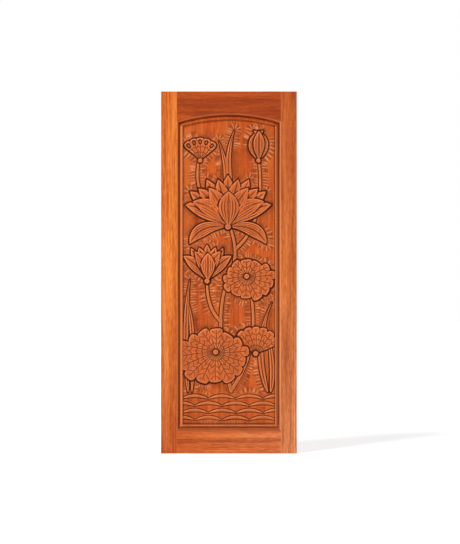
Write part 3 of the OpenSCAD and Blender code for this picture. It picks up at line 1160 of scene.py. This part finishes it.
@dataclass(frozen=True)
class CarvedTimber(Timber):
    """Timber of the carved boards, stained and painted with shade in the cuts, and lighter on the crests
    from wearing and painted highlight.
    """

    gloss: float = 0.06
    coat: float = 0.03
    fresh: Colour = (238, 148, 94)
    stain_share: float = 0.96
    crest_share: float = 0.72
    hollow_share: float = 0.75

    def shadow(self, nodes: Nodes) -> Socket:
        """Staining and painted shade of the cuts, kept on the mesh."""
        held = nodes.add("ShaderNodeAttribute", attribute_name="stain").outputs["Fac"]
        return nodes.math("MULTIPLY", held, self.stain_share, clamp=True)

    def worn(self, nodes: Nodes, colour: Socket) -> Socket:
        """Crests and newly cut rays take a light tone, partly wearing and partly painted highlight, and
        hollows take painted shade.

        Args:
            nodes: Node tree of the finish.
            colour: Colour of the plain timber.

        Returns:
            The colour with its wear.
        """
        held = nodes.add("ShaderNodeAttribute", attribute_name="wear").outputs["Fac"]
        crest = nodes.math("MULTIPLY", held, self.crest_share, clamp=True)
        hollow = nodes.math("MULTIPLY", held, -self.hollow_share, clamp=True)
        colour = nodes.mix(crest, colour, linear(self.fresh))
        return nodes.mix(hollow, colour, linear(self.pore))


def put_finish(piece: bpy.types.Object, finish: Timber) -> None:
    """Puts a finish in every material slot of a piece.

    Args:
        piece: The piece.
        finish: Its timber, whose material is made once.
    """
    made = bpy.data.materials.get(finish.name) or finish.material()
    piece.data.materials.clear()
    piece.data.materials.append(made)


def dress_node(name: str, finish: Timber) -> None:
    """Gives a CAD node its finish."""
    put_finish(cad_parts[name], finish)
    LOG.info("%s dressed", name)


@dataclass
class StileAndRailFrame:
    """The four framing pieces, which keep their CAD solids."""

    left: MouldedTimber = MouldedTimber(
        "left_stile_timber", (248, 152, 66), (228, 121, 43), (194, 88, 25), shift=(0.31, 0.12, 0.0),
        edge=SightLine.LEFT, rubbed=(230, 134, 70), low_end=(192, 88, 38), high_end=(212, 100, 30))
    right: MouldedTimber = MouldedTimber(
        "right_stile_timber", (220, 122, 56), (195, 98, 38), (160, 71, 23), shift=(1.7, 0.4, 0.9),
        edge=SightLine.RIGHT, low_end=(208, 122, 72), high_end=(174, 76, 24))
    top: MouldedTimber = MouldedTimber(
        "top_rail_timber", (194, 84, 24), (172, 68, 14), (146, 53, 9), grain=Grain.ACROSS,
        shift=(0.2, 0.7, 2.3), edge=SightLine.HEAD, rubbed=(212, 122, 74))
    bottom: MouldedTimber = MouldedTimber(
        "bottom_rail_timber", (226, 124, 62), (204, 101, 46), (168, 74, 30), grain=Grain.ACROSS,
        shift=(0.9, 1.6, 0.4), edge=SightLine.FOOT, depth=28.0, rubbed=(212, 108, 52),
        low_end=(198, 88, 30), high_end=(216, 116, 66))

    def dress(self) -> None:
        """Gives each framing piece the timber that is named after it."""
        for timber in (self.left, self.right, self.top, self.bottom):
            dress_node(timber.name.removesuffix("_timber"), timber)


@dataclass
class CornerDowels:
    """The dowels of the four corner joints, which keep their CAD solids."""

    timber: Timber = Timber(
        "dowel_timber", (222, 188, 134), (205, 166, 108), (176, 134, 80), grain=Grain.ACROSS,
        pore=(140, 100, 58), coat=0.0, rough=(0.55, 0.7))

    def dress(self) -> None:
        """Gives the dowels their pale timber."""
        for corner in ("top_left", "top_right", "bottom_left", "bottom_right"):
            dress_node(f"{corner}_dowels", self.timber)


@dataclass
class PanelFace:
    """Cells of the panel's face, or of one board of it.

    Places across and up, levels of the front and the back over the middle plane, staining with painted
    shade and wearing with painted light of the front, and for each column the number of its edge line, or
    -1 in the field.
    """

    x: Array
    z: Array
    front: Array
    back: Array
    stain: Array
    wear: Array
    lines: Array

    SIDE = 900
    BACK = 5000

    def part(self, first: int, last: int) -> "PanelFace":
        """The cells from one column to another, both kept."""
        return PanelFace(*(getattr(self, item.name)[..., first:last + 1] for item in fields(self)))

    def mesh(self, name: str, n: int) -> bpy.types.Mesh:
        """Makes one closed board of the cells.

        Its section is a ring: every column of the front, then back over those columns of the rear where
        that bends. The ring is carried up row by row, and fans of triangles close the top and bottom.

        Args:
            name: Name of the board.
            n: Number of edge lines at each end.

        Returns:
            The mesh, smooth between the lines of its edges, with its staining and painted shade, and its
            wearing and painted light.
        """
        rows, wide = self.x.shape
        kept = np.unique(np.concatenate([np.nonzero(self.lines >= 0)[0], [0, wide // 2, wide - 1]]))
        ahead = np.stack([self.x, -self.front, self.z], -1).reshape(-1, 3)
        behind = np.stack([self.x[:, kept], self.back[:, kept], self.z[:, kept]], -1).reshape(-1, 3)
        points = np.concatenate([ahead, behind]) * MM
        fore = np.arange(rows * wide).reshape(rows, wide)
        aft = rows * wide + np.arange(rows * len(kept)).reshape(rows, len(kept))
        four = sheet(np.concatenate([fore, aft[:, ::-1], fore[:, :1]], 1))
        gap = np.searchsorted(kept, np.arange(wide - 1), side="right") - 1
        caps = []
        for row, turn in ((0, 1), (-1, -1)):
            a, b = fore[row], aft[row]
            fan = np.stack([a[1:], a[:-1], b[gap]], 1)
            close = np.stack([a[kept[1:]], b[:-1], b[1:]], 1)
            caps.append(np.concatenate([fan, close])[:, ::turn])
        three = np.concatenate(caps)
        corners = np.concatenate([four.ravel(), three.ravel()])
        starts = np.concatenate([np.arange(len(four)) * 4, four.size + np.arange(len(three)) * 3])
        mesh = bpy.data.meshes.new(name)
        mesh.vertices.add(len(points))
        mesh.vertices.foreach_set("co", points.astype(np.float32).ravel())
        mesh.loops.add(len(corners))
        mesh.loops.foreach_set("vertex_index", corners.astype(np.int32))
        mesh.polygons.add(len(starts))
        mesh.polygons.foreach_set("loop_start", starts.astype(np.int32))
        mesh.update(calc_edges=True)
        mesh.polygons.foreach_set("use_smooth", np.ones(len(starts), bool))
        self.sharpen(mesh, kept, n)
        for key in ("stain", "wear"):
            held = np.concatenate([getattr(self, key).ravel(), np.zeros(len(behind))]).astype(np.float32)
            mesh.attributes.new(key, "FLOAT", "POINT").data.foreach_set("value", held)
        mesh.validate()
        return mesh

    def sharpen(self, mesh: bpy.types.Mesh, kept: Array, n: int) -> None:
        """Marks the mesh edges that run along one line of the edge section, or along a side, as sharp.

        Args:
            mesh: Mesh of the board.
            kept: Columns that the back keeps.
            n: Number of edge lines at each end.
        """
        rows, wide = self.x.shape
        across, up = np.arange(wide), np.arange(rows)
        column = np.where((across == 0) | (across == wide - 1), self.SIDE + across, self.lines)
        level = np.where((up < n) | (up >= rows - n), up, -1)
        ends = np.empty(len(mesh.edges) * 2, np.int32)
        mesh.edges.foreach_get("vertices", ends)
        one, two = ends.reshape(-1, 2).T
        sharp = np.zeros(len(mesh.edges), bool)
        front = (np.tile(column, rows), np.repeat(level, wide))
        back = (np.tile(column[kept], rows), np.repeat(level, len(kept)))
        for ahead, behind in zip(front, back):
            line = np.concatenate([ahead, np.where(behind < 0, -1, behind + self.BACK)])
            sharp |= (line[one] == line[two]) & (line[one] >= 0)
        mesh.attributes.new("sharp_edge", "BOOLEAN", "EDGE").data.foreach_set("value", sharp)


@dataclass
class CarvedPanel:
    """The floating panel as five glued boards, carved on the front and plainly raised on the back.

    The painted shade and painted highlight of the edge are given for each line of its section, from the
    tongue inwards; the head takes the painted shadow of the top rail.
    """

    cell: float = 1.55
    wall_run: float = 0.9
    joints: tuple[float, ...] = (-171.0, -61.0, 56.0, 169.0)
    tones: tuple[float, ...] = (0.985, 1.03, 0.965, 1.015, 0.975)
    light: Colour = (218, 106, 43)
    mid: Colour = (204, 90, 34)
    dark: Colour = (180, 71, 24)
    log_step: Place = (0.37, 0.9, 0.51)
    edge_stain: tuple[float, ...] = (0.6, 0.72, 0.3, 0.0, 0.3, 0.0, 0.0, 0.0, 0.2, 0.55)
    head_stain: tuple[float, ...] = (0.32, 0.36, 0.34, 0.3, 0.28, 0.16, 0.12, 0.1, 0.1, 0.26)
    edge_wear: tuple[float, ...] = (0.0, 0.0, 0.3, 0.75, 0.4, 0.6, 0.7, 0.7, 0.4, 0.0)
    left_clear: float = 3.0
    head_clear: float = 4.5
    foot_spread: float = 0.4

    def edge_lines(self, tongue: float) -> Array:
        """Section of the panel's edge: the tongue, the bevel, and the rim with both corners eased.

        Args:
            tongue: Reach of the tongue into the groove.

        Returns:
            Distance inside the sight line and level over the middle plane, for each line.
        """
        flat, top = SIZES.tongue / 2, SIZES.rim_level
        bevel, inset, ease = SIZES.bevel, SIZES.inset, self.wall_run
        low, nose = top - SIZES.bevel_step, top - 0.7
        knee, bend = 0.3, top - 0.18
        first, lean = 2.4, 0.05
        return np.array([
            (-tongue, flat), (0.0, flat), (first, flat + first * (low - flat) / bevel), (bevel, low),
            (bevel + lean, nose), (bevel + knee, bend), (bevel + ease, top),
            (inset - ease, top), (inset - knee, bend), (inset, nose),
        ])

    def grid(self) -> tuple[Array, Array, Array, Array, int]:
        """Places of all cells of the panel's face.

        Columns stand at the lines of the edge section and then at an even pitch across the field. Rows
        do the same, and those near the head bend with the arch: each row keeps its share of the height
        between the foot and the head at its own column.

        Returns:
            Places across and up, levels of the plain panel by row and by column, and the number of
            edge lines.
        """
        sides = self.edge_lines(SIZES.groove - SIZES.swell_gap)
        foot = self.edge_lines(SIZES.groove)
        n = len(sides)
        wall = SIZES.inset + self.wall_run
        half = SIZES.half_sight - wall
        across = np.linspace(-half, half, int(round(2 * half / self.cell)) + 1)
        x = np.concatenate([sides[:, 0] - SIZES.half_sight, across, SIZES.half_sight - sides[::-1, 0]])
        low = SIZES.bottom_rail + wall
        up = np.linspace(0.0, 1.0, int(round((SIZES.sight_top - wall - low) / self.cell)) + 1)[:, None]
        z = np.concatenate([
            np.broadcast_to(SIZES.bottom_rail + foot[:, :1], (n, len(x))),
            low + up * (SIZES.head(x, wall) - low),
            np.array([SIZES.head(x, inset) for inset in sides[::-1, 0]]),
        ])
        by_col = np.concatenate([sides[:, 1], np.full(len(across), SIZES.rim_level), sides[::-1, 1]])
        by_row = np.concatenate([foot[:, 1], np.full(len(up), SIZES.rim_level), sides[::-1, 1]])
        return np.broadcast_to(x, z.shape).copy(), z, by_row, by_col, n

    def wall_distance(self, x: Array, z: Array) -> Array:
        """Distance of each cell from the wall round the field, as its painted shade counts it.

        Args:
            x: Places across.
            z: Places up.

        Returns:
            The least of the distances to the sides, the foot and the head.
        """
        # The left side is offset, so that its painted shade is fainter
        side = SIZES.half_sight - SIZES.inset - np.abs(x) + np.where(x < 0.0, self.left_clear, 0.0)
        foot = self.foot_spread * (z - SIZES.bottom_rail - SIZES.inset)
        head = SIZES.head(x, SIZES.inset) - z + self.head_clear
        return np.minimum(np.minimum(side, foot), head)

    def face(self) -> tuple[PanelFace, int]:
        """Works out the face of the panel: the plain section, with the carving let into its field.

        Returns:
            The face, and the number of its edge lines.
        """
        x, z, by_row, by_col, n = self.grid()
        inner = (slice(n, -n), slice(n, -n))
        relief = Relief(x[inner], z[inner], self.cell)
        relief.carve(PondDrawing().draw())
        relief.tool_ground()
        relief.darken_edge(self.wall_distance(relief.x, relief.z))
        relief.shade_tucks()
        relief.find_wear()
        front = np.minimum(by_row[:, None], by_col[None, :])
        back = front.copy()
        # The back has no carved field, so its rim runs on from the last three lines
        raised = slice(n - 3, 3 - n)
        back[raised, raised] = SIZES.rim_level
        front[inner] = np.minimum(SIZES.ground_level + relief.height, SIZES.rim_level)
        stain, wear = np.zeros_like(front), np.zeros_like(front)
        stain[inner], wear[inner] = np.clip(relief.stain, 0.0, 1.0), relief.wear
        for held, edge in ((stain, np.array(self.edge_stain)), (wear, np.array(self.edge_wear))):
            held[:n] = edge[:, None]
            held[n:-n, :n] = edge
            held[n:-n, -n:] = edge[::-1]
        # The head's bevel is painted with the shadow of the top rail
        stain[-n:] = np.array(self.head_stain)[::-1, None]
        columns = np.arange(x.shape[1])
        lines = np.where((columns <= n) | (columns >= columns[-1] - n), columns, -1)
        return PanelFace(x, z, front, back, stain, wear, lines), n

    def timber(self, i: int) -> CarvedTimber:
        """Timber of one board, in its own tone and from its own place in the log."""
        tones = (self.light, self.mid, self.dark)
        shades = [tuple(min(255, int(c * self.tones[i])) for c in tone) for tone in tones]
        return CarvedTimber(f"panel_timber_{i + 1}", *shades, shift=tuple(i * s for s in self.log_step))

    def build(self) -> None:
        """Makes the boards from left to right, each cut from the face at the glued joints."""
        face, n = self.face()
        x = face.x[0]
        edges = [0, *(int(np.abs(x - joint).argmin()) for joint in self.joints), len(x) - 1]
        for i, (first, last) in enumerate(zip(edges, edges[1:])):
            name = f"panel_board_{i + 1}"
            mesh = face.part(first, last).mesh(name, n)
            piece = put_in_scene(name, mesh)
            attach(piece, "root")
            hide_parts("carved_panel")
            put_finish(piece, self.timber(i))
            LOG.info("%s built with %d faces", name, len(mesh.polygons))


@dataclass
class Studio:
    """White floor, soft lamps from the upper left, and a long lens square to the leaf, in metres."""

    floor_half: float = 30.0
    floor_lines: int = 13
    floor_grey: float = 0.6
    floor_glow: float = 0.55
    sky: float = 0.26
    distance: float = 12.0
    frame_height: float = 3.053
    aim: Point = (0.0062, 1.0188)
    sensor: float = 36.0
    sight_end: float = 200.0
    middle: Place = (0.0, 0.0, 1.05)
    sun_angle: float = 14.0
    key_strength: float = 2.85
    key_place: Place = (-4.2, -5.2, 7.0)
    back_strength: float = 1.5
    back_place: Place = (2.6, 5.6, 6.0)
    fill_watts: float = 30.0
    fill_size: float = 2.6
    fill_place: Place = (0.6, -5.2, 0.7)

    def floor(self) -> None:
        """Lays the floor: pale and lit, with a white glow for the camera that leaves the shadow showing."""
        line = np.linspace(-self.floor_half, self.floor_half, self.floor_lines)
        gx, gy = np.meshgrid(line, line)
        points = np.stack([gx, gy, np.zeros_like(gx)], -1).reshape(-1, 3)
        mesh = bpy.data.meshes.new("studio_floor")
        mesh.from_pydata(points.tolist(), [], sheet(np.arange(gx.size).reshape(gx.shape)).tolist())
        material = bpy.data.materials.new("studio_white")
        nodes = Nodes(material)
        nodes.fill(nodes.shader, {
            "Base Color": (self.floor_grey, self.floor_grey, self.floor_grey, 1.0),
            "Roughness": 1.0,
            "Specular IOR Level": 0.0,
            "Emission Color": WHITE,
            "Emission Strength": nodes.math("MULTIPLY", self.seen(nodes), self.floor_glow),
        })
        mesh.materials.append(material)
        put_in_scene("studio_floor", mesh)

    @staticmethod
    def seen(nodes: Nodes) -> Socket:
        """1 for rays from the camera or from gloss or glass, and 0 for light on the object.

        Args:
            nodes: Node tree of the floor or the world.

        Returns:
            The greatest of the three.
        """
        path = nodes.add("ShaderNodeLightPath").outputs
        last = path["Is Camera Ray"]
        for key in ("Is Glossy Ray", "Is Transmission Ray"):
            last = nodes.math("MAXIMUM", last, path[key])
        return last

    def world(self) -> None:
        """Even soft light all round, seen as white."""
        world = bpy.data.worlds.new("studio_world")
        bpy.context.scene.world = world
        nodes = Nodes(world, "Background")
        span = {"Value": self.seen(nodes), "To Min": self.sky, "To Max": 1.0}
        strength = nodes.add("ShaderNodeMapRange", span).outputs["Result"]
        nodes.fill(nodes.shader, {"Color": WHITE, "Strength": strength})

    def hang(self, data: bpy.types.Light, place: Place) -> None:
        """Hangs a lamp so that it looks at the middle of the leaf.

        Args:
            data: The lamp.
            place: Where it hangs.
        """
        lamp = put_in_scene(data.name, data)
        way = np.array(self.middle) - np.array(place)
        flat = math.hypot(way[0], way[1])
        lamp.location = place
        lamp.rotation_euler = (math.atan2(flat, -way[2]), 0.0, math.atan2(-way[0], way[1]))

    def lamps(self) -> None:
        """Hangs the key and back suns and the soft fill."""
        suns = (
            ("key_lamp", self.key_strength, self.key_place),
            ("back_lamp", self.back_strength, self.back_place),
        )
        for name, strength, place in suns:
            sun = bpy.data.lights.new(name, "SUN")
            sun.energy = strength
            sun.angle = math.radians(self.sun_angle)
            self.hang(sun, place)
        fill = bpy.data.lights.new("fill_lamp", "AREA")
        fill.energy = self.fill_watts
        fill.size = self.fill_size
        self.hang(fill, self.fill_place)

    def camera(self) -> None:
        """Sets the camera square to the front, at the height of the leaf's middle."""
        data = bpy.data.cameras.new("catalogue_camera")
        data.sensor_width = self.sensor
        data.lens = self.sensor * self.distance / self.frame_height
        data.clip_end = self.sight_end
        camera = put_in_scene("catalogue_camera", data)
        camera.location = (self.aim[0], -self.distance - SIZES.thick / 2 * MM, self.aim[1])
        camera.rotation_euler = (math.pi / 2, 0.0, 0.0)
        bpy.context.scene.camera = camera

    def build(self) -> None:
        """Sets up the floor, the light and the camera."""
        self.floor()
        self.world()
        self.lamps()
        self.camera()
        bpy.context.scene.view_settings.view_transform = "Standard"
        LOG.info("studio set up")


def main() -> None:
    """Builds and dresses the leaf piece by piece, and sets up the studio."""
    logging.basicConfig(level=logging.INFO, format="%(name)s: %(message)s")
    StileAndRailFrame().dress()
    CornerDowels().dress()
    CarvedPanel().build()
    Studio().build()


if __name__ == "__main__":
    main()
